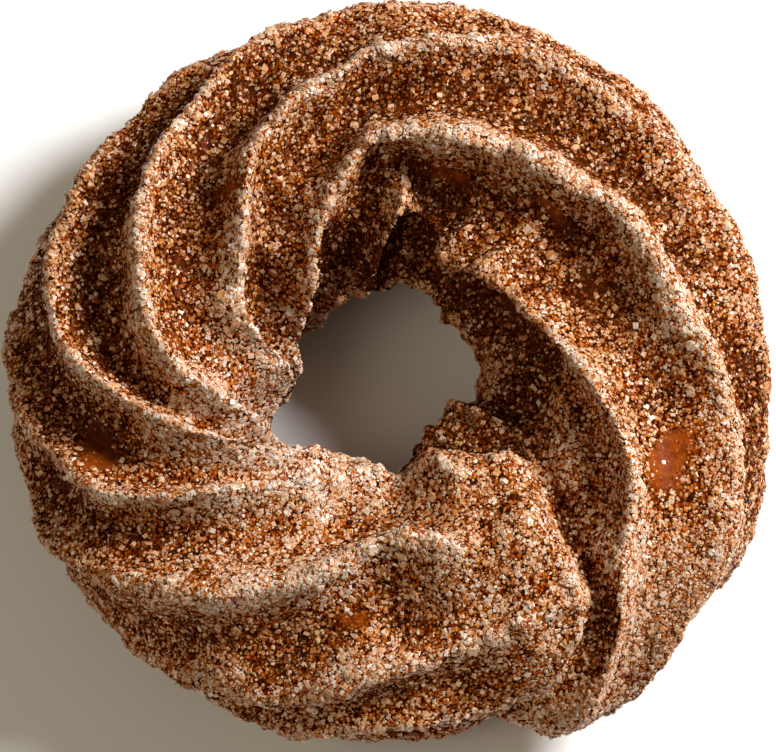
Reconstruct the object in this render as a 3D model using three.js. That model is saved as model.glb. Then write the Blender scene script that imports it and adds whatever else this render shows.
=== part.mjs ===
// A cruller doughnut: a rope of choux dough piped through a star nozzle, twisted,
// laid in a ring with its start lapped over its end, and fried.
//
// Millimetres, +Z up. The ring rests on z = 0 and the Z axis is the middle of its box.
// A place on the rope is given by two angles in degrees:
//   along  - how far round the ring, clockwise from +Y as seen from above. The rope starts
//            near SEAM_ALONG and ends one lap later, so angles past 360 are its later part
//            and its end lies under its start.
//   around - how far round the rope's section, from its top outwards.

import * as THREE from 'three';

// ---- Driving dimensions ------------------------------------------------------------

const RING_RADIUS = 27.6; // from the ring's axis to the middle of the rope
const HALF_WIDTH = 17.4; // half the rope's width, to the crests of its ridges
const HALF_HEIGHT = 15.6; // half the rope's height, to the crests
const FLAT_DEPTH = 2; // how much of the underside is pressed flat
const RIDGE_COUNT = 8; // the teeth of the star nozzle
const RIDGE_DEPTH = 5; // from a crest down to the valley beside it
const CREST_SOFTNESS = 0.1; // 0 is a knife edge
const UNDERSIDE_DEPTH = 0.45; // share of the ridge depth that is left underneath
const FLANK_DEPTH = 0.52; // and at the outer wall, where the ridges spread

// Where these two come in, from nothing to fully there.
const UNDERSIDE_RANGE = [0.1, 0.9]; // in minus the cosine of around
const FLANK_RANGE = [0.5, 1]; // in the sine of around
const HOLE_WALL_RANGE = [0.5, 0.85]; // in minus the sine of around

// Towards its end the rope's inner side is smooth, from just inside its last clear crest.
const LAST_CREST = -1; // that ridge
const SMOOTH_RANGE = [400, 430]; // degrees along over which the ridges inside it fade
const SMOOTH_EDGE = [16, 30]; // degrees around, from that crest inwards
const SMOOTH_DEPTHS = [1, 0.3]; // how deep the smooth side lies, as valleys are counted
const SMOOTH_WALL = [45, 85]; // degrees inwards of the top between those two depths
const SMOOTH_UNDER = [110, 150]; // and where the ridges come back underneath

// Ridges with broad round crests, and where along the rope they are that.
const ROUND_RIDGES = [-1, 0];
const ROUND_RANGE = [350, 375, 455, 480]; // degrees along: coming, there, still there, gone

// The rope's twist: where the leading crest is, around the rope, at places along it.
const TWIST = [
  [130, -240], [175, -242], [200, -223], [222, -191], [245, -144], [262, -114], [278, -91],
  [300, -74], [329, -44], [348, -23], [357, -9], [378, -4], [418, 11], [438, 19], [457, 40],
  [477, 64], [497, 87], [505, 106], [540, 150],
];

// Ridges that leave their even spacing: [ridge, along, lead in degrees, reach in degrees].
const STRAYS = [
  [2, 238, 17, 34], [4, 214, -9, 22], [5, 150, 13, 18], [5, 218, 9, 20],
  [6, 205, 24, 30], [1, 362, -11, 14], [7, 483, -6, 12],
  [7, 345, -20, 12], [7, 367, 10, 5], [4, 143, 23, 26], [4, 239, 7, 10],
  [0, 378, -7, 18], [0, 412, -4, 20], [7, 396, -15, 17], [7, 425, -11, 18], [7, 455, -16, 20],
];

// How far the outer wall stands out, and the hole's wall in, beside a plain ring.
const WALLS = [
  [140, -0.4, 0.4], [150, 0, 1.7], [162, -1.1, 0.9], [172, -0.5, -0.7], [180, -0.2, -1.5],
  [190, 0.4, -0.6],
  [200, -0.9, -0.4], [220, 0, -1.6], [233, 0.6, -4.4], [241, 1.2, -3.4], [250, -0.8, -2.8],
  [262, 0.5, 0.6], [280, -0.8, 0.4], [290, 0.1, 0.8], [312, -1.4, 1.8], [340, -0.4, 0.6],
  [350, -1.5, 0.7], [360, 0, 0.7], [380, 1.3, 0], [390, 1, 1.2], [400, 0.6, 1.5],
  [410, 0.3, 3.2], [420, 0.4, 2.5], [430, 0.6, 1.9], [440, 0.3, 2.3], [450, 0.5, 1.8],
  [460, 0.8, 1.5], [470, 1.9, 1.3],
  [480, 3, 4.4], [490, 1.8, 3.7], [503, 3.8, 3.5], [512, 5.3, 3.8], [530, 3, 1], [540, 1, 0],
];

const WALL_FADE = 1.5; // how fast that fades towards the top and the underside
const SMOOTH_FADE = 7; // the same on the smooth side of the rope's end

// The start of the rope is a tongue that lies over the end. Its edge, from its tip.
const SEAM_ALONG = 147; // where the seam is taken to be, on the whole
const TIP_ALONG = 131; // the tongue's tip
const TIP_AROUND = -36;
const TONGUE_OUTER = [[0, 0], [14, 3], [27, 5], [45, 8], [75, 11], [88, 15], [132, 30], [180, 20]];
const TONGUE_INNER = [[0, 0], [14, 5], [30, 17], [50, 32], [80, 36], [180, 20]];
const LIP_LENGTH = 2.6; // from the tongue's edge back to its full height
const LIP_DROP = 1.9; // how much lower the tongue's edge is than its full height
const LIP_SLOPE = 3; // how steep the tongue's edge is below that
const LIP_FILL = 0.8; // share of the valleys' depth that is lost at the tongue's edge
const LIP_FILL_LENGTH = [4, 22]; // from the edge back: full loss up to here, no loss from there
const LIP_FILL_SPREAD = 1.6; // how much further back that reaches on the outer side
const LIP_FILL_OUTER = [20, 40]; // degrees outwards of the top where it spreads
const LIP_FILL_RANGE = [60, 85]; // and where the loss fades
const LAP_LENGTH = 6.5; // from the tongue's edge, how far the end of the rope dips beside it
const LAP_SHORTENING = 0.5; // share of that length that is lost towards the outer wall
const LAP_SINK = 2.2; // how deep it dips
const LAP_INNER_LOSS = 0.9; // share of that depth that is lost on the hole's wall
const LAP_OUTER_GAIN = 0.5; // share of it that is added on the outer wall
const LAP_BLEND = 0.5; // how softly the two meet

// Swellings and hollows: [along, around, height, reach along, reach around].
const BLISTERS = [
  [250, 39, 1.5, 7, 11], [474, 33, 1.4, 7, 10], [186, 30, 0.8, 10, 10], [218, 33, 0.5, 7, 8],
  [379, 47, 0.8, 9, 9], [270, -14, 0.8, 6, 9], [317, -10, 0.6, 6, 8],
  [364, -38, 1.2, 4, 12], [367, -3, 1.1, 10, 8], [375, -50, -3.4, 8, 14], [370, -74, 2, 8, 12],
  [470, -62, -3, 10, 13],
];

// Slow unevenness of the fried dough: [height, waves along, waves around].
const SWELLS = [[0.35, 5, 2], [0.28, 9, -3], [0.22, 14, 4], [0.16, 23, -5]];
const CREST_WANDER = 1.6; // degrees that a crest wanders to its sides
const WANDER_WAVES = 9; // times in a lap
const SEED = 11;

// ---- The mesh -----------------------------------------------------------------------

const ROW_SHARES = [0, 0.14, 0.38, 0.62, 0.86]; // rows from one crest to the next
const WIDE_STEP = 3.2; // degrees along between sections
const NARROW_STEP = 1.3; // the same beside the seam
const NARROW_REACH = 7; // degrees on each side of the seam
const SEAM_REACH = 85; // degrees over which sections swing round to follow the seam
const INNER_FOLLOW = 0.3; // how far rows follow the crests beside the tongue's inner edge
const INNER_RANGE = [-20, 10]; // degrees past the tongue's tip over which that comes in
const SEAM_SHIFT = 7; // ridge n of the end meets ridge n + 7 of the start
const ROW_BLEND = 14; // degrees beside the seam over which rows pass from one to the other
const SETTLING_PASSES = 8; // rows and sections settle on each other in this many steps
const SETTLING_SHARE = 0.6; // of the way that is left, in each step

const radians = THREE.MathUtils.degToRad;
const smooth = (value, low, high) => THREE.MathUtils.smoothstep(value, low, high);

// A smooth curve through [place, value] stations that never swings past them.
function curve(stations, column = 1) {
  const places = stations.map((station) => station[0]);
  const values = stations.map((station) => station[column]);
  const last = places.length - 1;
  const chords = values.slice(1).map((value, i) => (value - values[i]) / (places[i + 1] - places[i]));
  const slopes = values.map((value, i) => {
    if (i === 0) return chords[0];
    if (i === last) return chords[last - 1];
    const flat = chords[i - 1] * chords[i] <= 0;
    return flat ? 0 : (2 * chords[i - 1] * chords[i]) / (chords[i - 1] + chords[i]);
  });
  return (place) => {
    const x = THREE.MathUtils.clamp(place, places[0], places[last]);
    let i = 0;
    while (i < last - 1 && x > places[i + 1]) i += 1;
    const span = places[i + 1] - places[i];
    const t = (x - places[i]) / span;
    const start = values[i] * (1 + 2 * t) * (1 - t) ** 2 + span * slopes[i] * t * (1 - t) ** 2;
    return start + values[i + 1] * t * t * (3 - 2 * t) + span * slopes[i + 1] * t * t * (t - 1);
  };
}

const twist = curve(TWIST);
const outerWall = curve(WALLS, 1);
const innerWall = curve(WALLS, 2);
const tongueOuter = curve(TONGUE_OUTER);
const tongueInner = curve(TONGUE_INNER);

// Seeded draws, the same each time.
function drawer(seed) {
  let state = seed;
  return () => {
    state = (state * 48271) % 2147483647;
    return state / 2147483647;
  };
}

const draw = drawer(SEED);
const swellPhases = SWELLS.map(() => 2 * Math.PI * draw());
const ridgePhases = Array.from({ length: RIDGE_COUNT }, () => 2 * Math.PI * draw());

// Angle brought into -180 .. 180.
const wrap = (angle) => THREE.MathUtils.euclideanModulo(angle + 180, 360) - 180;

// ---- The rope -----------------------------------------------------------------------

// Where a ridge's crest is around the rope. Ridges are numbered outwards from the leading one.
function crestAround(ridge, along) {
  let around = twist(along) + (360 / RIDGE_COUNT) * ridge;
  const numbered = THREE.MathUtils.euclideanModulo(ridge, RIDGE_COUNT);
  for (const [stray, place, lead, reach] of STRAYS) {
    if (stray === numbered) around += lead * Math.exp(-(((along - place) / reach) ** 2));
  }
  return around + CREST_WANDER * Math.sin(radians(along) * WANDER_WAVES + ridgePhases[numbered]);
}

// How deep the surface lies under the crests, 0 on a crest and 1 in the middle of a valley.
function valley(along, around) {
  const pitch = 360 / RIDGE_COUNT;
  let ridge = Math.floor((around - twist(along)) / pitch) - 1;
  while (crestAround(ridge + 1, along) <= around) ridge += 1;
  const low = crestAround(ridge, along);
  const high = crestAround(ridge + 1, along);
  const share = (around - low) / (high - low);
  const across = Math.sin(Math.PI * share);
  const edge = Math.hypot(across, CREST_SOFTNESS) - CREST_SOFTNESS;
  const sharp = edge / (Math.hypot(1, CREST_SOFTNESS) - CREST_SOFTNESS);
  const nearest = share < 0.5 ? ridge : ridge + 1;
  const crest = THREE.MathUtils.lerp(sharp, across ** 2, roundness(nearest, along));
  return THREE.MathUtils.lerp(crest, smoothSide(around), smoothness(along, around));
}

// 1 where a ridge has a broad round crest, 0 where it is sharp.
function roundness(ridge, along) {
  if (!ROUND_RIDGES.includes(ridge)) return 0;
  const [coming, there, still, gone] = ROUND_RANGE;
  return smooth(along, coming, there) - smooth(along, still, gone);
}

// 1 on the smooth inner side of the rope's end.
function smoothness(along, around) {
  const inwards = wrap(crestAround(LAST_CREST, along) - around);
  const under = smooth(Math.abs(wrap(around)), ...SMOOTH_UNDER);
  return inwards > 0 ? smooth(along, ...SMOOTH_RANGE) * smooth(inwards, ...SMOOTH_EDGE) * (1 - under) : 0;
}

// How deep that side lies.
function smoothSide(around) {
  return THREE.MathUtils.lerp(...SMOOTH_DEPTHS, smooth(-wrap(around), ...SMOOTH_WALL));
}

// How deep the valleys are at a place.
function ridgeDepth(around) {
  const under = smooth(-Math.cos(radians(around)), ...UNDERSIDE_RANGE);
  const flank = smooth(Math.sin(radians(around)), ...FLANK_RANGE);
  return RIDGE_DEPTH * (1 - Math.max((1 - UNDERSIDE_DEPTH) * under, (1 - FLANK_DEPTH) * flank));
}

// The swellings and the slow unevenness together.
function swell(along, around) {
  let height = 0;
  SWELLS.forEach(([size, waves, turns], i) => {
    height += size * Math.sin(radians(along * waves + around * turns) + swellPhases[i]);
  });
  for (const [place, side, size, long, wide] of BLISTERS) {
    const away = ((along - place) / long) ** 2 + (wrap(around - side) / wide) ** 2;
    height += size * Math.exp(-away);
  }
  return height;
}

// How far the rope's surface stands out from the plain ring, along the surface's normal.
function relief(along, around, filled = 0) {
  const sine = Math.sin(radians(around));
  const wall = sine > 0 ? outerWall(along) : innerWall(along);
  const fade = THREE.MathUtils.lerp(WALL_FADE, SMOOTH_FADE, smoothness(along, around));
  const stand = wall * Math.abs(sine) ** fade;
  const depth = ridgeDepth(around) * (1 - filled);
  return stand + swell(along, around) - depth * valley(along, around);
}

// ---- The seam -----------------------------------------------------------------------

// Where the tongue's edge is, along the ring, at each place around the rope.
function seamAlong(around) {
  const side = wrap(around - TIP_AROUND);
  return TIP_ALONG + (side > 0 ? tongueOuter(side) : tongueInner(-side));
}

// How far the tongue's valleys are filled, so many millimetres back from its edge.
function fillable(past, around) {
  const outwards = wrap(around);
  const spread = THREE.MathUtils.lerp(1, LIP_FILL_SPREAD, smooth(outwards, ...LIP_FILL_OUTER));
  const near = 1 - smooth(past / spread, ...LIP_FILL_LENGTH);
  return near * (1 - smooth(outwards, ...LIP_FILL_RANGE));
}

// The surface where both ends of the rope are near: the higher of the two.
function lapped(start, around) {
  const sine = Math.sin(radians(around));
  const past = radians(start - seamAlong(around)) * (RING_RADIUS + HALF_WIDTH * sine);
  const lip = 1 - smooth(past, 0, LIP_LENGTH);
  const filled = LIP_FILL * fillable(past, around);
  const tongue = relief(start, around, filled) - LIP_DROP * lip ** 2 + LIP_SLOPE * Math.min(0, past);
  const innerLoss = LAP_INNER_LOSS * smooth(-sine, ...HOLE_WALL_RANGE);
  const outerGain = LAP_OUTER_GAIN * smooth(sine, ...FLANK_RANGE);
  const length = LAP_LENGTH * (1 - LAP_SHORTENING * smooth(sine, 0, FLANK_RANGE[0]));
  const dip = LAP_SINK * (1 - innerLoss + outerGain) * smooth(past, -length, 0);
  const end = relief(start + 360, around) - dip - Math.max(0, past);
  return Math.max(tongue, end) + LAP_BLEND * Math.log1p(Math.exp(-Math.abs(tongue - end) / LAP_BLEND));
}

// A point of the surface, at an angle along that is counted from the seam onwards.
function point(along, around) {
  const start = along < SEAM_ALONG + 180 ? along : along - 360;
  const nearSeam = Math.abs(start - SEAM_ALONG) < SEAM_REACH;
  const raised = nearSeam ? lapped(start, around) : relief(along, around);
  const sine = Math.sin(radians(around));
  const cosine = Math.cos(radians(around));
  const normal = new THREE.Vector2(sine / HALF_WIDTH, cosine / HALF_HEIGHT).normalize();
  const radius = RING_RADIUS + HALF_WIDTH * sine + raised * normal.x;
  const height = HALF_HEIGHT - FLAT_DEPTH + HALF_HEIGHT * cosine + raised * normal.y;
  const turn = radians(along);
  return new THREE.Vector3(radius * Math.sin(turn), radius * Math.cos(turn), Math.max(0, height));
}

// ---- The skin -----------------------------------------------------------------------

// Angles along of the sections, closer together beside the seam.
function sections() {
  const angles = [];
  let angle = SEAM_ALONG;
  while (angle < SEAM_ALONG + 360 - NARROW_STEP / 2) {
    angles.push(angle);
    const beside = Math.min(angle - SEAM_ALONG, SEAM_ALONG + 360 - angle) < NARROW_REACH;
    angle += beside ? NARROW_STEP : WIDE_STEP;
  }
  return angles;
}

// Sections near the seam swing round to run along it.
function swing(section, around) {
  const away = section - SEAM_ALONG < 180 ? section - SEAM_ALONG : section - SEAM_ALONG - 360;
  const near = Math.max(0, 1 - (away / SEAM_REACH) ** 2) ** 2;
  return section + near * (seamAlong(around) - SEAM_ALONG);
}

// Rows follow the crests. Beside the seam they pass over to the other end's crests.
function rowAround(section, along, row) {
  const ridge = Math.floor(row / ROW_SHARES.length);
  const share = ROW_SHARES[row % ROW_SHARES.length];
  const between = (first, place) => THREE.MathUtils.lerp(
    crestAround(first, place), crestAround(first + 1, place), share);
  const own = between(ridge, along);
  const away = section - SEAM_ALONG;
  if (away < 180) {
    const end = between(ridge - SEAM_SHIFT, along + 360);
    return THREE.MathUtils.lerp(end, own, smooth(away, -ROW_BLEND, ROW_BLEND));
  }
  const start = between(ridge + SEAM_SHIFT, along - 360);
  return THREE.MathUtils.lerp(own, start, smooth(away - 360, -ROW_BLEND, ROW_BLEND));
}

// The closed surface. Its last section joins its first, SEAM_SHIFT ridges further round.
function skin() {
  const rows = RIDGE_COUNT * ROW_SHARES.length;
  const angles = sections();
  const positions = [];
  for (const section of angles) {
    for (let row = 0; row < rows; row += 1) {
      let along = section;
      let around = rowAround(section, along, row);
      for (let pass = 0; pass < SETTLING_PASSES; pass += 1) {
        along = swing(section, around);
        const inner = smooth(-wrap(around - TIP_AROUND), ...INNER_RANGE);
        const place = THREE.MathUtils.lerp(along, section, (1 - INNER_FOLLOW) * inner);
        const settled = rowAround(section, place, row);
        around = THREE.MathUtils.lerp(around, settled, SETTLING_SHARE);
      }
      positions.push(...point(along, around).toArray());
    }
  }
  const index = [];
  angles.forEach((section, i) => {
    const next = (i + 1) % angles.length;
    const shift = next === 0 ? SEAM_SHIFT * ROW_SHARES.length : 0;
    for (let row = 0; row < rows; row += 1) {
      const above = (row + 1) % rows;
      const far = next * rows + ((row + shift) % rows);
      const farAbove = next * rows + ((above + shift) % rows);
      index.push(i * rows + row, far, farAbove, i * rows + row, farAbove, i * rows + above);
    }
  });
  const geometry = new THREE.BufferGeometry();
  geometry.setAttribute('position', new THREE.Float32BufferAttribute(positions, 3));
  geometry.setIndex(index);
  geometry.computeBoundingBox();
  const middle = geometry.boundingBox.getCenter(new THREE.Vector3());
  geometry.translate(-middle.x, -middle.y, 0);
  geometry.computeVertexNormals();
  return geometry;
}

const dough = new THREE.MeshStandardMaterial({ color: 0x8a5630, roughness: 0.75, metalness: 0 });
const cruller = new THREE.Mesh(skin(), dough);
cruller.name = 'cruller';

const part = new THREE.Group();
part.add(cruller);

export default part;
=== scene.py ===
"""A fried cruller rolled in cinnamon sugar: its dough, and the sugar crystals that cling to it."""

import math

import bpy
import numpy as np
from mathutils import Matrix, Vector, noise


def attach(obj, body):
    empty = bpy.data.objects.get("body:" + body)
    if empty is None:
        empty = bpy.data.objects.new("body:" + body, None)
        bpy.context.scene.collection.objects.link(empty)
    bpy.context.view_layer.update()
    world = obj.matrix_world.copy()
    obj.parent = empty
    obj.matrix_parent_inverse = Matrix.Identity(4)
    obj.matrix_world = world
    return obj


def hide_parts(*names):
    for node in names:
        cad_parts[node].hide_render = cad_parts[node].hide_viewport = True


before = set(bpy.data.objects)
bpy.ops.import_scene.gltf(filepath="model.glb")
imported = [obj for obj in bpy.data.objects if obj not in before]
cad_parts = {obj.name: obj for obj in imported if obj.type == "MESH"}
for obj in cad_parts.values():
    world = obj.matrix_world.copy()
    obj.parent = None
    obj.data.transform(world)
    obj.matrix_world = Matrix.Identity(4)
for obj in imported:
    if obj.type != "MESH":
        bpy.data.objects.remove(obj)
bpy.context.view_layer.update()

MM = 0.001
SEED = 20

# ---- The ring, in millimetres --------------------------------------------------------

RING_RADIUS = 27.6  # to the middle of the rope of dough
ROPE_MIDDLE = 13.6  # height of the rope's middle

# ---- The relief of the dough, in millimetres -----------------------------------------

CRUST_INSET = 0.25  # the dough lies this far under the solid's surface, to leave room for sugar
CREST_HEIGHT = 1.0  # how far a crest stands above its surroundings
DEEPENING = 0.5  # how much deeper the surface gets for each millimetre under a crest
DEEPENS_TO = 2  # what lies further than this under a crest gets no deeper still
CREST_RAG = 0.45  # how ragged the crests are
FINE_RELIEF = 0.16  # height of the small lumps all over
FOOT = 0.3  # the dough below this height rests on the table and stays flat
RELIEF_FROM = 4  # the relief is full from this height and fades out below it

# How many times the skin is averaged, to tell how far a place stands above its surroundings.
BROADLY = 80  # whole ridges
FAIRLY = 30  # their upper parts
NARROWLY = 12  # their edges
SHARPENED = (0.2, 1.1)  # the height above its surroundings from which a ridge is torn, and fully

# Where the valleys stay shallow: along the ring, around the rope, reach along and around,
# all in degrees.
SHALLOW = [
    (240, -50, 45, 45),
    (75, 52, 25, 14),
    (160, 8, 15, 16),
]
SHALLOWING = 1.6  # how far they stay so, where 1 leaves them as they are and more fills them

# ---- Where the sugar lies ------------------------------------------------------------

# The height above its surroundings, in millimetres, from which a place counts as each, and
# fully so.
CREST_EDGE = (0.1, 0.5)
CREST_BODY = (0.15, 0.8)
SHOULDER = (-0.7, 1.0)
VALLEY = (-0.3, -1.5)

# How thick the sugar is on plain crust, and what a shoulder, a crest and a valley add. Then
# the same for how pale it is, where the valley's browner share is partly cinnamon gathered there
# and partly painted shade.
THICKNESS = (0.75, 0.45, 0.5, -0.3)
PALENESS = (0.4, 0.25, 0.13, -0.33)
THICKEST = 2.2
UNDERNEATH = 0.65  # how much of it the underside lacks
FACING_DOWN = (0.1, 0.8)  # how far a place faces down where the underside starts, and is full
BARE_FOOT = (0.25, 0.6)  # the height, in millimetres, where sugar starts, and is full
PAINTED_SHADE_BELOW = 0.35  # below this paleness the crust is darkened too, as painted shade

# Smooth spots with little sugar: along the ring, around the rope, reach along and around,
# in degrees, and how bare.
BARE_SPOTS = [
    (250, 39, 5.5, 7, 0.97),
    (114, 35, 9, 13, 0.97),
    (186, 25, 5, 6, 0.85),
    (218, 31, 3.5, 5, 0.8),
    (5, 5, 4, 5, 0.75),
    (19, 47, 5, 7, 0.75),
    (270, -14, 5, 7, 0.8),
    (317, -10, 5, 7, 0.8),
    (18, -32, 8, 7, 0.9),
    (52, -14, 9, 4, 0.85),
]
BARE_FADES = (1.4, 0.4)  # how many reaches off it is that a spot starts, and that it is full

# Painted light and painted shade: where the sugar is painted paler because the rope is lit
# there, or browner because it lies in shade, and laid thicker or thinner with it: along the
# ring, its reach, where around the rope it starts and where it is full, all in degrees, and
# how much thicker and how much paler.
LEANINGS = [
    (195, 60, 50, 15, 0.3, 0.15),
    (60, 90, 35, 60, -0.25, -0.3),
    (110, 50, 60, 85, -0.2, -0.35),
    (270, 75, 30, 60, -0.4, -0.4),
    (20, 75, -35, -65, -0.3, -0.45),
    (80, 45, -30, -60, -0.4, -0.5),
    (145, 28, -40, -65, -0.5, -0.7),
    (140, 22, 20, -10, -0.2, -0.2),
    (240, 55, 10, -35, 0.4, 0.3),
]

# Noises, as layers of feature size in millimetres, seed and share.
TORN_CRESTS = [(1.7, 1.3, 1), (0.8, 4.1, 0.6)]
LUMPS = [(2.8, 2.2, 1), (1.3, 3.9, 0.7)]
RAGGED_SPOTS = [(2.5, 7.7, 0.5), (0.9, 3.1, 0.25)]
THICK_PATCHES = [(6, 5.5, 0.45), (2.2, 9.1, 0.4), (1.2, 3.3, 0.6)]
PALE_PATCHES = [(4, 6.1, 0.25), (1.2, 3.3, 0.28)]

# ---- The crystals --------------------------------------------------------------------

FLATNESS = 0.34  # a crystal's height beside its width, because they lie on their broad sides
TAPER = 0.72  # a block's top beside its base
SIZES = (1.6, 2.6)  # of a beta distribution, which has more small crystals than large ones
PROPORTIONS = (0.72, 1.28)  # a crystal's three sides beside its edge, from and to
STRAYING = 0.3  # how far each corner strays, beside its distance from the middle
SEAT = (-0.04, 0.14)  # its middle's height over the crust beside its edge, from and to
LOWEST = 0.02  # in millimetres, so that no grain goes through the table
CLEARNESS = 0.5  # how far the sides of a crystal catch the light as the crust under it does

# Each side of a crystal takes its colour from one cell of a square palette. Paler cells are
# higher up.
PALETTE_CELLS = 64
PALER_UPWARDS = 0.42  # how far a cell's colour depends on its row, and not on chance
TONE_SPREAD = 0.25  # how many rows a grain strays from its place's own, as a share of them all
NEAR, FAR = 0.12, 0.88
CELL_CORNERS = {
    3: [(NEAR, NEAR), (FAR, NEAR), (0.5, FAR)],
    4: [(NEAR, NEAR), (FAR, NEAR), (FAR, FAR), (NEAR, FAR)],
}


def smoothstep(value, low, high):
    t = np.clip((value - low) / (high - low), 0, 1)
    return t * t * (3 - 2 * t)


def noisy(points, layers):
    """Perlin noise at points in metres, its layers added up."""
    total = 0
    for size, seed, share in layers:
        scale = 1 / (size * MM)
        shift = Vector((seed, -seed, 2 * seed))
        total = total + share * np.array([noise.noise(Vector(p) * scale + shift) for p in points])
    return total


# ---- The dough -----------------------------------------------------------------------


def positions(mesh):
    flat = np.empty(len(mesh.vertices) * 3, np.float32)
    mesh.vertices.foreach_get("co", flat)
    return flat.reshape(-1, 3).astype(float)


def normals(mesh):
    flat = np.empty(len(mesh.vertices) * 3, np.float32)
    mesh.vertex_normals.foreach_get("vector", flat)
    return flat.reshape(-1, 3).astype(float)


def averaged(mesh, points, passes):
    """Each vertex moved to the mean of its neighbours, again and again."""
    pairs = np.empty(len(mesh.edges) * 2, np.int32)
    mesh.edges.foreach_get("vertices", pairs)
    first, second = pairs.reshape(-1, 2).T
    count = len(points)
    neighbours = np.bincount(first, minlength=count) + np.bincount(second, minlength=count)
    for _ in range(passes):
        total = np.empty_like(points)
        for axis in range(points.shape[1]):
            total[:, axis] = np.bincount(first, points[second, axis], count)
            total[:, axis] += np.bincount(second, points[first, axis], count)
        points = total / neighbours[:, None]
    return points


def standing(mesh, passes):
    """How far each vertex stands above its surroundings, in millimetres."""
    points = positions(mesh)
    return ((points - averaged(mesh, points, passes)) * normals(mesh)).sum(1) / MM


def ring_angles(points):
    """Along the ring, clockwise from +Y, and around the rope from its top outwards."""
    x, y, z = (points / MM).T
    along = np.degrees(np.arctan2(x, y)) % 360
    around = np.degrees(np.arctan2(np.hypot(x, y) - RING_RADIUS, z - ROPE_MIDDLE))
    return along, around


def turn_between(angle, place):
    return (angle - place + 180) % 360 - 180


def away_from(spot, along, around):
    """How far a place is from a spot, squared, where the spot's reach is 1."""
    place, side, long, wide = spot
    return (turn_between(along, place) / long) ** 2 + ((around - side) / wide) ** 2


def smooth_skin():
    """A copy of the solid with its faces joined and rounded off."""
    bpy.ops.object.select_all(action="DESELECT")
    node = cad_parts["cruller"]
    piece = bpy.data.objects.new("dough", node.data.copy())
    bpy.context.scene.collection.objects.link(piece)
    piece.select_set(True)
    bpy.context.view_layer.objects.active = piece
    bpy.ops.object.mode_set(mode="EDIT")
    bpy.ops.mesh.select_all(action="SELECT")
    bpy.ops.mesh.remove_doubles(threshold=0.01 * MM)
    bpy.ops.mesh.tris_convert_to_quads(face_threshold=math.pi, shape_threshold=math.pi)
    bpy.ops.mesh.normals_make_consistent(inside=False)
    bpy.ops.object.mode_set(mode="OBJECT")
    skin = piece.modifiers.new("smooth", "SUBSURF")
    skin.levels = 2
    skin.render_levels = 2
    bpy.ops.object.modifier_apply(modifier=skin.name)
    bpy.ops.object.shade_smooth()
    piece.data.materials.clear()
    return piece


def shape_crust(mesh):
    """Sharpens and tears the crests, deepens the valleys and adds small lumps."""
    points = positions(mesh)
    foot = points[:, 2] < FOOT * MM
    broad = standing(mesh, BROADLY)
    outwards = normals(mesh)
    crest = smoothstep(broad, *SHARPENED)
    along, around = ring_angles(points)
    deepening = DEEPENING
    for spot in SHALLOW:
        near = np.exp(-away_from(spot, along, around))
        deepening = deepening - DEEPENING * SHALLOWING * near
    lift = deepening * np.clip(broad - CREST_HEIGHT, -DEEPENS_TO, 0)
    lift += CREST_RAG * crest * noisy(points, TORN_CRESTS)
    lift += FINE_RELIEF * noisy(points, LUMPS) - CRUST_INSET
    lift *= smoothstep(points[:, 2] / MM, 0, RELIEF_FROM)
    points += outwards * (lift * MM)[:, None]
    points[:, 2] = np.maximum(points[:, 2], 0)
    points[foot, 2] = 0
    mesh.vertices.foreach_set("co", points.astype(np.float32).ravel())
    mesh.update()


# ---- Where the sugar lies ------------------------------------------------------------


def bareness(points):
    """1 in the middle of a bare spot, 0 away from them all."""
    along, around = ring_angles(points)
    bare = np.zeros(len(points))
    ragged = 1 + noisy(points, RAGGED_SPOTS)
    for *spot, most in BARE_SPOTS:
        away = np.sqrt(away_from(spot, along, around)) * ragged
        bare = np.maximum(bare, most * smoothstep(away, *BARE_FADES))
    return bare


def by_relief(shares, shoulder, crest, valley):
    plain, on_shoulders, on_crests, in_valleys = shares
    return plain + on_shoulders * shoulder + on_crests * crest + in_valleys * valley


def sugar_cover(mesh):
    """How thick the sugar is at each vertex, how far it is on a crest, and how pale it is, with
    painted light and painted shade in that paleness.
    """
    points = positions(mesh)
    broad = standing(mesh, BROADLY)
    narrow = standing(mesh, NARROWLY)
    crest = smoothstep(narrow, *CREST_EDGE) + smoothstep(standing(mesh, FAIRLY), *CREST_BODY)
    crest /= 2
    shoulder = smoothstep(broad + narrow, *SHOULDER)
    valley = smoothstep(broad, *VALLEY)
    cover = by_relief(THICKNESS, shoulder, crest, valley)
    tone = by_relief(PALENESS, shoulder, crest, valley) + noisy(points, PALE_PATCHES)
    along, around = ring_angles(points)
    # Painted light and shade: paler where the rope is lit, browner where it is shaded.
    for place, reach, start, full, thicker, painted_light_and_shade in LEANINGS:
        share = np.exp(-((turn_between(along, place) / reach) ** 2))
        share *= smoothstep(around, start, full)
        cover *= 1 + thicker * share
        tone += painted_light_and_shade * share
    cover *= (1 + noisy(points, THICK_PATCHES)) * (1 - bareness(points))
    cover *= 1 - UNDERNEATH * smoothstep(-normals(mesh)[:, 2], *FACING_DOWN)
    cover *= smoothstep(points[:, 2] / MM, *BARE_FOOT)
    return np.clip(cover, 0, THICKEST), crest, np.clip(tone, 0, 1)


def store(mesh, name, values):
    attribute = mesh.attributes.new(name, "FLOAT", "POINT")
    attribute.data.foreach_set("value", values.astype(np.float32))


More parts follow.
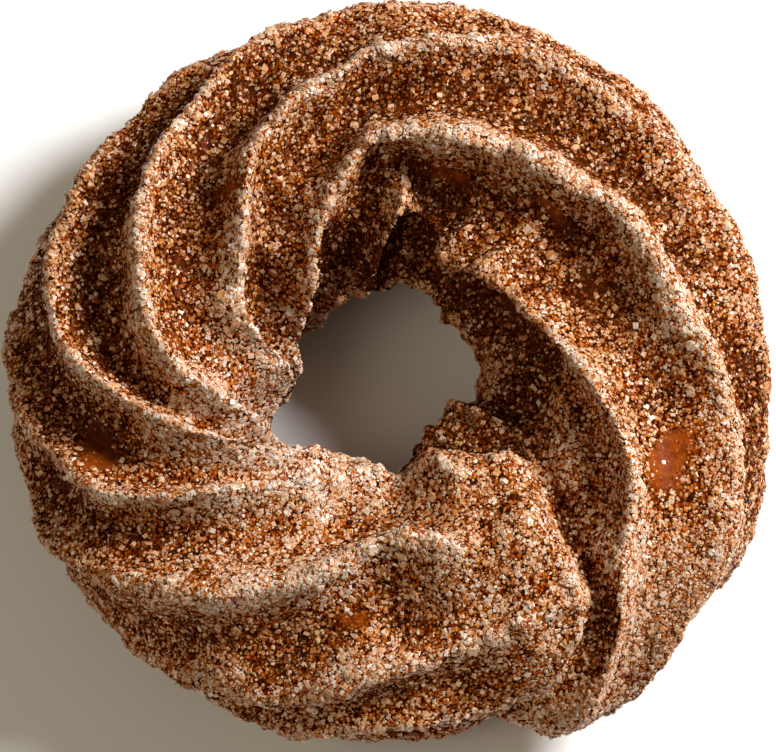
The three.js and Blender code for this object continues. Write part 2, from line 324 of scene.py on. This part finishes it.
class Places:
    """Draws places on the dough, more where the sugar is thicker."""

    def __init__(self, mesh, cover, crest, tone, rng):
        mesh.calc_loop_triangles()
        triangles = np.empty(len(mesh.loop_triangles) * 3, np.int32)
        mesh.loop_triangles.foreach_get("vertices", triangles)
        self.triangles = triangles.reshape(-1, 3)
        self.points = positions(mesh)
        self.normals = normals(mesh)
        self.cover = cover
        self.crest = crest
        self.tone = tone
        self.rng = rng
        a, b, c = (self.points[self.triangles[:, i]] for i in range(3))
        self.areas = np.linalg.norm(np.cross(b - a, c - a), axis=1) / 2

    def draw(self, count, crowding):
        """With crowding at 0 the places are even, and at 1 they follow the cover."""
        cover = self.cover[self.triangles].mean(1)
        chance = np.cumsum(self.areas * cover**crowding)
        picked = np.searchsorted(chance, self.rng.random(count) * chance[-1])
        u, v = self.rng.random((2, count))
        turned = u + v > 1
        u[turned], v[turned] = 1 - u[turned], 1 - v[turned]
        shares = np.stack([1 - u - v, u, v], 1)
        corners = self.triangles[picked]
        point = (self.points[corners] * shares[:, :, None]).sum(1)
        normal = (self.normals[corners] * shares[:, :, None]).sum(1)
        normal /= np.linalg.norm(normal, axis=1)[:, None]
        crest = (self.crest[corners] * shares).sum(1)
        tone = (self.tone[corners] * shares).sum(1)
        return point, normal, crest, tone


# ---- Crystals ------------------------------------------------------------------------


def double_pyramid():
    """A ball of three rings with its middle rings drawn together into one."""
    bpy.ops.mesh.primitive_uv_sphere_add(segments=4, ring_count=3, radius=0.7)
    for vertex in bpy.context.object.data.vertices:
        if abs(vertex.co.z) < 0.5:
            vertex.co.z = 0
    bpy.ops.object.mode_set(mode="EDIT")
    bpy.ops.mesh.select_all(action="SELECT")
    bpy.ops.mesh.remove_doubles(threshold=0.01)
    bpy.ops.object.mode_set(mode="OBJECT")


def crystal(kind):
    """One crystal, with edges of about 1: its corners and faces."""
    bpy.ops.object.select_all(action="DESELECT")
    if kind == "block":
        bpy.ops.mesh.primitive_cube_add(size=1)
    elif kind == "flake":
        bpy.ops.mesh.primitive_cone_add(
            vertices=7, radius1=0.6, radius2=0.45, depth=0.7, end_fill_type="TRIFAN"
        )
    elif kind == "double pyramid":
        double_pyramid()
    else:
        bpy.ops.mesh.primitive_cone_add(vertices=3, radius1=0.62, radius2=0, depth=0.9)
    piece = bpy.context.object
    mesh = piece.data
    corners = np.array([v.co for v in mesh.vertices])
    if kind == "block":
        corners[corners[:, 2] > 0, :2] *= TAPER
    faces = [tuple(p.vertices) for p in mesh.polygons]
    bpy.data.objects.remove(piece)
    bpy.data.meshes.remove(mesh)
    return corners, faces


def axes_on(normal, tilt, rng):
    """Axes of crystals that lie on the surface, turned at random and tilted."""
    count = len(normal)
    side = rng.normal(size=(count, 3))
    side -= normal * (side * normal).sum(1)[:, None]
    side /= np.linalg.norm(side, axis=1)[:, None]
    other = np.cross(normal, side)
    angle = np.radians(rng.normal(0, tilt, count))[:, None]
    up = normal * np.cos(angle) + side * np.sin(angle)
    side = side * np.cos(angle) - normal * np.sin(angle)
    return np.stack([side, other, up], 2)


def scattered(corners, habit, places):
    """Each crystal's corners in place, and the normal and the tone of the crust there."""
    count, smallest, largest, tilt, crowding, pile = habit
    rng = places.rng
    point, normal, crest, tone = places.draw(count, crowding)
    axes = axes_on(normal, tilt, rng)
    edge = smallest + (largest - smallest) * rng.beta(*SIZES, count)
    shape = edge[:, None] * rng.uniform(*PROPORTIONS, (count, 3)) * (1, 1, FLATNESS) * MM
    local = corners[None] * shape[:, None, :]
    local = local * (1 + rng.uniform(-STRAYING, STRAYING, local.shape))
    height = edge * rng.uniform(*SEAT, count)
    height += pile * crest * rng.random(count) ** 2
    middle = point + normal * (height * MM)[:, None]
    placed = middle[:, None, :] + np.einsum("nij,nkj->nki", axes, local)
    placed[:, :, 2] = np.maximum(placed[:, :, 2], LOWEST * MM)
    return placed, normal, tone


def joined(name, placed, faces):
    """One mesh of all the crystals."""
    count, corners = placed.shape[:2]
    loops = (np.arange(count)[:, None] * corners + np.concatenate(faces)[None]).ravel()
    sides = np.tile([len(face) for face in faces], count)
    starts = np.cumsum(sides) - sides
    mesh = bpy.data.meshes.new(name)
    mesh.vertices.add(count * corners)
    mesh.vertices.foreach_set("co", placed.astype(np.float32).ravel())
    mesh.loops.add(len(loops))
    mesh.loops.foreach_set("vertex_index", loops.astype(np.int32))
    mesh.polygons.add(len(sides))
    mesh.polygons.foreach_set("loop_start", starts.astype(np.int32))
    mesh.update(calc_edges=True)
    return mesh


def shade_as_clear(mesh, normal, faces):
    """Leans the shading of each side towards the crust, because light goes through sugar."""
    flat = np.empty(len(mesh.polygons) * 3, np.float32)
    mesh.polygons.foreach_get("normal", flat)
    own = flat.reshape(len(normal), len(faces), 3)
    facing = own * (1 - CLEARNESS) + normal[:, None, :] * CLEARNESS
    facing /= np.linalg.norm(facing, axis=2)[:, :, None]
    sides = [len(face) for face in faces]
    mesh.normals_split_custom_set(np.repeat(facing, sides, axis=1).reshape(-1, 3))


def lay_on_palette(mesh, tone, faces, rng):
    """Gives each side of a crystal a cell of the palette, in the row for the crystal's tone."""
    count = len(tone)
    row = np.clip(tone + rng.uniform(-TONE_SPREAD, TONE_SPREAD, count), 0, 0.999)
    column = rng.random((count, len(faces)))
    cell = np.stack([column, np.repeat(row[:, None], len(faces), 1)], 2) * PALETTE_CELLS // 1
    cell = np.repeat(cell, [len(face) for face in faces], axis=1)
    inside = np.concatenate([CELL_CORNERS[len(face)] for face in faces])
    uv = (cell + inside[None]) / PALETTE_CELLS
    layer = mesh.uv_layers.new(name="OFBake")
    layer.data.foreach_set("uv", uv.astype(np.float32).ravel())


def sugar(name, kind, habit, places):
    corners, faces = crystal(kind)
    placed, normal, tone = scattered(corners, habit, places)
    mesh = joined(name, placed, faces)
    shade_as_clear(mesh, normal, faces)
    lay_on_palette(mesh, tone, faces, places.rng)
    piece = bpy.data.objects.new(name, mesh)
    bpy.context.scene.collection.objects.link(piece)
    return piece


# ---- Materials -----------------------------------------------------------------------


class Wire:
    """A socket of a material, with arithmetic."""

    def __init__(self, paint, socket):
        self.paint = paint
        self.socket = socket

    def __add__(self, other):
        return self.paint.math("ADD", self, other)

    __radd__ = __add__

    def __mul__(self, other):
        return self.paint.math("MULTIPLY", self, other)

    __rmul__ = __mul__

    def __sub__(self, other):
        return self.paint.math("SUBTRACT", self, other)

    def __rsub__(self, other):
        return self.paint.math("SUBTRACT", other, self)

    def __truediv__(self, other):
        return self.paint.math("DIVIDE", self, other)


class Paint:
    """A material whose nodes are added one call at a time."""

    def __init__(self, name):
        self.material = bpy.data.materials.new(name)
        self.material.use_nodes = True
        self.tree = self.material.node_tree
        self.shader = self.tree.nodes["Principled BSDF"]

    def put(self, socket, value):
        if isinstance(value, Wire):
            self.tree.links.new(value.socket, socket)
        elif value is not None:
            socket.default_value = value

    def node(self, kind, output, settings=None, **values):
        """Values go to sockets by name, or by number after an underscore."""
        made = self.tree.nodes.new("ShaderNode" + kind)
        for key, value in (settings or {}).items():
            if key == "stops":
                ramp = made.color_ramp
                while len(ramp.elements) < len(value):
                    ramp.elements.new(0.5)
                for element, (place, colour) in zip(ramp.elements, value):
                    element.position = place
                    element.color = colour
            else:
                setattr(made, key, value)
        for key, value in values.items():
            place = int(key[1:]) if key[0] == "_" else key.replace("_", " ")
            self.put(made.inputs[place], value)
        return Wire(self, made.outputs[output])

    def math(self, operation, a, b=None):
        return self.node("Math", 0, {"operation": operation}, _0=a, _1=b)

    def vector(self, operation, a, b=None):
        return self.node("VectorMath", 0, {"operation": operation}, _0=a, _1=b)

    def part(self, vector, axis):
        return self.node("SeparateXYZ", "XYZ".index(axis), _0=vector)

    def ramp(self, value, low, high):
        settings = {"interpolation_type": "SMOOTHSTEP"}
        return self.node("MapRange", 0, settings, _0=value, _1=float(low), _2=float(high))

    def mix(self, share, a, b, blend="MIX"):
        settings = {"data_type": "RGBA", "blend_type": blend}
        return self.node("Mix", 2, settings, _0=share, _6=a, _7=b)

    def attribute(self, name):
        return self.node("Attribute", "Fac", {"attribute_name": name})

    def noise(self, place, size):
        return self.node("TexNoise", 0, Vector=place, Scale=1 / (size * MM), Detail=3.0)

    def grains(self, place, size):
        """Cells of that size in millimetres: two random values, and how far from its hub."""
        cells = {"Vector": place, "Scale": 1 / (size * MM)}
        colour = self.node("TexVoronoi", "Color", **cells)
        first = self.node("SeparateColor", 0, _0=colour)
        second = self.node("SeparateColor", 1, _0=colour)
        return first, second, self.node("TexVoronoi", "Distance", **cells)

    def set(self, **values):
        for key, value in values.items():
            self.put(self.shader.inputs[key.replace("_", " ")], value)


def srgb(red, green, blue):
    """A colour from 0 to 255, as light."""
    parts = [c / 255 for c in (red, green, blue)]
    parts = [c / 12.92 if c <= 0.04045 else ((c + 0.055) / 1.055) ** 2.4 for c in parts]
    return (*parts, 1.0)


# The crust, between two browns under sugar and between two golds where it is bare.
BROWN_CRUST = (srgb(48, 12, 0), srgb(84, 28, 2))
GOLD_CRUST = (srgb(108, 42, 2), srgb(142, 64, 7))
LIGHTER_CRUST = srgb(140, 62, 10)
# Painted shade: the dark crust laid in the valleys and where the rope lies in shade.
PAINTED_SHADE_CRUST = srgb(34, 7, 0)
BROWNED_PATCHES = 7  # in millimetres
FINE_PATCHES = 1.1  # in millimetres

# Sugar and cinnamon that have sunk into the crust, from the darkest grain to the palest, and
# the gaps between them: dark crust, painted darker still as the shade between the grains.
SPICE = [
    (0.0, srgb(44, 9, 0)),
    (0.35, srgb(122, 46, 2)),
    (0.6, srgb(176, 84, 8)),
    (0.85, srgb(204, 126, 52)),
    (1.0, srgb(224, 178, 126)),
]
PAINTED_GAP_SHADE = srgb(32, 6, 0)
SPICE_SIZE = 0.42  # in millimetres

# Dust between the crystals, from brown to pale.
DUST = (srgb(170, 90, 28), srgb(230, 196, 158))
DUST_SIZE = 0.28  # in millimetres
ROUGHNESS_DEPTH = 0.15  # of what is sunk in or dusted on, in millimetres

# Crystals, from the darkest to the palest.
CLEAR = [
    (0.0, srgb(130, 57, 8)),
    (0.25, srgb(193, 127, 62)),
    (0.5, srgb(212, 174, 136)),
    (0.75, srgb(215, 199, 183)),
    (1.0, srgb(224, 219, 215)),
]
STAINED = [
    (0.0, srgb(40, 8, 0)),
    (0.35, srgb(114, 42, 2)),
    (0.7, srgb(190, 99, 22)),
    (1.0, srgb(208, 142, 70)),
]
# Painted light: the pale edge of a clear crystal, where it gathers light.
PAINTED_LIT_RIM = srgb(228, 222, 217)
SEEN_THROUGH = (0.5, 0.33, 0.2, 1)  # how much of each colour the crust under a crystal leaves


def dough_paint():
    """Crust, the sugar and cinnamon sunk into it, and dust on top, with painted shade darkening it
    in the valleys and where the rope lies in shade.
    """
    paint = Paint("fried dough")
    place = paint.node("TexCoord", "Object")
    cover = paint.attribute("cover")
    crest = paint.attribute("crest")
    deep = paint.attribute("deep")
    broad = paint.noise(place, BROWNED_PATCHES)
    fine = paint.noise(place, FINE_PATCHES)
    sugared = paint.ramp(cover, 0.05, 0.5)
    brown = paint.mix(paint.ramp(broad, 0.35, 0.65), *BROWN_CRUST)
    gold = paint.mix(paint.ramp(fine, 0.3, 0.7), *GOLD_CRUST)
    crust = paint.mix(sugared, gold, brown)
    # The crust lighter in patches, and more so on the crests.
    lighter_patches = paint.ramp(fine + crest * 0.3, 0.4, 0.75) * 0.5
    crust = paint.mix(lighter_patches, crust, LIGHTER_CRUST)

    stain, _, from_hub = paint.grains(place, SPICE_SIZE)
    flesh = 1 - paint.ramp(from_hub, 0.3, 0.7)
    spice = paint.node("ValToRGB", 0, {"stops": SPICE}, _0=stain)
    # Painted shade in the gaps between the grains.
    spice = paint.mix(flesh, PAINTED_GAP_SHADE, spice)
    colour = paint.mix(sugared * 0.85, crust, spice)

    pick, tint, from_hub = paint.grains(place, DUST_SIZE)
    dusted = paint.ramp(cover * 0.2 + crest * 0.45 - pick, -0.04, 0.04)
    dusted = dusted * (1 - paint.ramp(from_hub, 0.5, 0.8))
    colour = paint.mix(dusted * 0.9, colour, paint.mix(tint, *DUST))
    # Painted shade: darker in the valleys and where the rope lies in shade.
    colour = paint.mix(deep * 0.7, colour, PAINTED_SHADE_CRUST)

    height = fine * 0.5 + dusted * 0.6 + flesh * (0.3 + stain * 0.5)
    bump = paint.node("Bump", 0, Strength=0.5, Distance=ROUGHNESS_DEPTH * MM, Height=height)
    greasy = (1 - paint.ramp(cover, 0.05, 0.4)) * 0.12
    paint.set(Base_Color=colour, Roughness=0.6, Normal=bump, Coat_Weight=greasy)
    paint.set(Coat_Roughness=0.5, Specular_IOR_Level=0.0)
    return paint.material


def sugar_paint(name, stops, rim_light, roughness, shine):
    """Each side of a crystal has its own colour, and is paler along its edges, as painted light
    that a clear crystal gathers at its edges.
    """
    paint = Paint(name)
    uv = paint.node("UVMap", 0, {"uv_map": "OFBake"})
    grid = paint.vector("MULTIPLY", uv, (PALETTE_CELLS,) * 3)
    cell = paint.vector("FLOOR", grid)
    inside = paint.vector("FRACTION", grid)
    row = paint.part(cell, "Y") / PALETTE_CELLS
    chance = paint.node("TexWhiteNoise", 0, Vector=cell)
    chance = chance * (1 - PALER_UPWARDS) + row * PALER_UPWARDS
    own = paint.node("ValToRGB", 0, {"stops": stops}, _0=chance)
    clearness = paint.node("SeparateColor", 1, _0=paint.node("TexWhiteNoise", 1, Vector=cell))
    core = paint.mix(clearness, own, SEEN_THROUGH, "MULTIPLY")
    # Painted light along the edges of each side.
    edge = paint.mix(rim_light * chance * chance, own, PAINTED_LIT_RIM)
    across = paint.math("ABSOLUTE", paint.part(inside, "X") - 0.5)
    up = paint.math("ABSOLUTE", paint.part(inside, "Y") - 0.5)
    rim = paint.ramp(paint.math("MAXIMUM", across, up), 0.25, 0.4)
    paint.set(Base_Color=paint.mix(rim, core, edge), Roughness=roughness)
    paint.set(Specular_IOR_Level=shine)
    return paint.material


# ---- The whole -----------------------------------------------------------------------

body = smooth_skin()
shape_crust(body.data)
cover, crest, tone = sugar_cover(body.data)
store(body.data, "cover", cover)
store(body.data, "crest", crest)
store(body.data, "deep", smoothstep(tone, PAINTED_SHADE_BELOW, 0))
body.data.materials.append(dough_paint())
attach(body, "root")
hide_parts("cruller")

clear = sugar_paint("clear sugar", CLEAR, rim_light=0.7, roughness=0.28, shine=0.3)
stained = sugar_paint("cinnamon sugar", STAINED, rim_light=0.05, roughness=0.35, shine=0.06)

# Name, crystal, paint, and the habit: how many, edges from and to in millimetres, tilt in
# degrees, crowding where the sugar is thick, and how high they pile up on crests.
KINDS = [
    ("sugar_flakes", "flake", clear, 700, 0.55, 1.3, 8, 1.8, 0.1),
    ("coarse_sugar", "block", clear, 12000, 0.36, 0.7, 14, 1.0, 0.2),
    ("table_sugar", "block", clear, 12000, 0.26, 0.48, 18, 1.3, 0.2),
    ("fine_sugar", "double pyramid", clear, 24500, 0.22, 0.44, 22, 1.4, 0.25),
    ("caramel_sugar", "double pyramid", stained, 24500, 0.28, 0.54, 18, 0.4, 0.1),
    ("cinnamon_sugar", "splinter", stained, 49000, 0.2, 0.42, 25, 0.5, 0.1),
    ("sugar_dust", "splinter", clear, 24000, 0.16, 0.32, 30, 1.2, 0.15),
]
places = Places(body.data, cover, crest, tone, np.random.default_rng(SEED))
for name, kind, paint, *habit in KINDS:
    piece = sugar(name, kind, habit, places)
    piece.data.materials.append(paint)
    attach(piece, "root")

# ---- Floor, light and camera ---------------------------------------------------------

FLOOR_WIDTH = 4  # in metres
PALE = (0.82, 0.82, 0.82, 1)
WHITE = (1, 1, 1)
WARM = (1, 0.87, 0.66)  # the fill and the surroundings, so that shaded sugar isn't grey
SURROUNDINGS = 0.155  # how bright they are

bpy.ops.object.select_all(action="DESELECT")
bpy.ops.mesh.primitive_plane_add(size=FLOOR_WIDTH)
floor = bpy.context.object
floor.name = "floor"
floor_paint = Paint("pale floor")
floor_paint.set(Base_Color=PALE, Roughness=0.6)
floor.data.materials.append(floor_paint.material)


def lamp(name, place, size, power, colour):
    """A round lamp, its place and size in metres, aimed at the middle of the ring."""
    light = bpy.data.lights.new(name, "AREA")
    light.shape = "DISK"
    light.size = size
    light.energy = power
    light.color = colour
    stand = bpy.data.objects.new(name, light)
    stand.location = place
    stand.rotation_euler = (-Vector(place)).to_track_quat("-Z", "Y").to_euler()
    bpy.context.scene.collection.objects.link(stand)


lamp("key", (0.490, 0.239, 0.440), 0.24, 9.5, WHITE)
lamp("fill", (-0.5, -0.3, 0.7), 0.6, 2.1, WARM)

world = bpy.data.worlds.new("studio")
world.use_nodes = True
backdrop = world.node_tree.nodes["Background"]
backdrop.inputs["Color"].default_value = (*WARM, 1)
backdrop.inputs["Strength"].default_value = SURROUNDINGS
bpy.context.scene.world = world

TARGET = Vector((0.2, -0.25, 13)) * MM
ELEVATION = math.radians(75)
DISTANCE = 0.6  # in metres
SENSOR = 36  # its width, in millimetres
FOCAL_LENGTH = 239.1  # in millimetres
LENS_SHIFT = -4 / 776  # upwards, as a share of the picture's width

toward = Vector((0, math.cos(ELEVATION), -math.sin(ELEVATION)))
lens = bpy.data.cameras.new("camera")
lens.sensor_width = SENSOR
lens.lens = FOCAL_LENGTH
lens.shift_y = LENS_SHIFT
camera = bpy.data.objects.new("camera", lens)
camera.location = TARGET - toward * DISTANCE
camera.rotation_euler = toward.to_track_quat("-Z", "Y").to_euler()
bpy.context.scene.collection.objects.link(camera)
bpy.context.scene.camera = camera
bpy.context.scene.view_settings.view_transform = "Standard"
